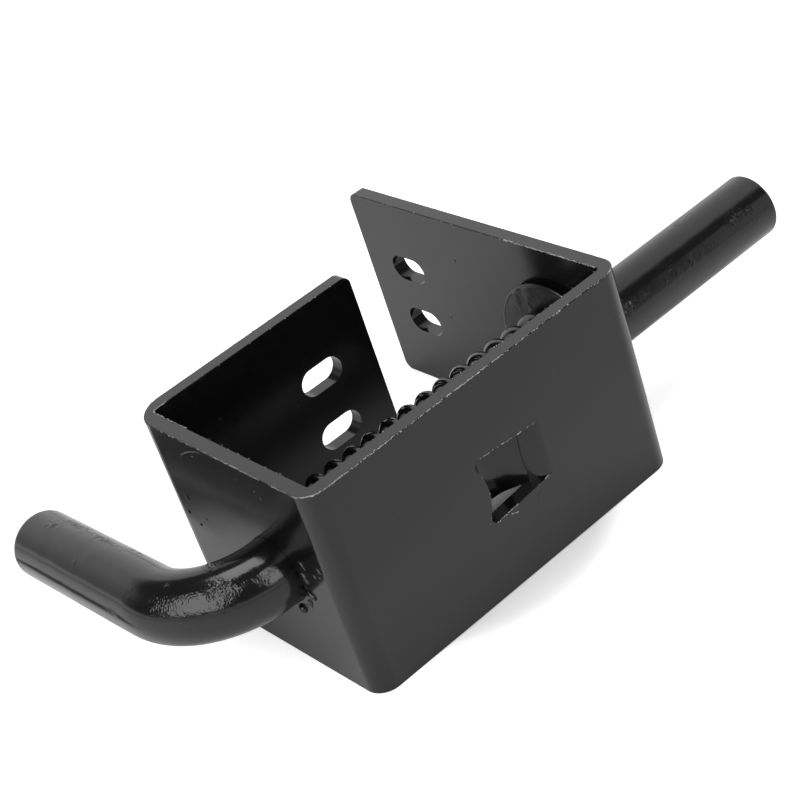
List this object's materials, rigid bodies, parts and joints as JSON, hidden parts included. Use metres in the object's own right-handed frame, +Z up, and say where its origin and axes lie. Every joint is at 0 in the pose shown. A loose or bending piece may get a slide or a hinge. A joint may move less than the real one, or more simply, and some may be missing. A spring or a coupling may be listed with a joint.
{
  "type": "gate spring latch",
  "caption": "Gate spring latch: a bent plate bracket for a post's corner, and a sprung round bolt bent into a handle, which slides back and turns.",
  "frame": {"origin": "on the latch rod's axis, in the outer face of the leg that the bolt comes out of", "axes": "+X along the rod to its bolt end, +Y back from the bracket's front face to the post, +Z up, with the handle pointing back to +Y at rest"},
  "size_m": [0.2239, 0.1123, 0.065],
  "materials": {
    "bracket_paint": "gloss black paint, thick and slightly uneven, chipped bright along the cut edges",
    "rod_paint": "gloss black paint with runs and lumps at the bend",
    "spring_paint": "gloss black paint on spring wire",
    "washer_paint": "gloss black paint, lumpy where it has run",
    "ring_steel": "dark spring steel"
  },
  "bodies": {
    "bracket": {"bracket": "bracket_paint", "spring": "spring_paint"},
    "washer": {"thrust_washer": "washer_paint"},
    "rod": {"latch_rod": "rod_paint", "stop_ring": "ring_steel"}
  },
  "joints": [
    {"name": "rod_slide", "type": "slide", "parent": "bracket", "child": "washer", "axis": [1, 0, 0], "range_m": [-0.034, 0], "stiffness_N_per_m": 2670, "springref_m": 0.024, "deforming": ["spring"]},
    {"name": "rod_turn", "type": "hinge", "parent": "washer", "child": "rod", "pos_m": [0, 0, 0], "axis": [1, 0, 0], "continuous": true}
  ]
}
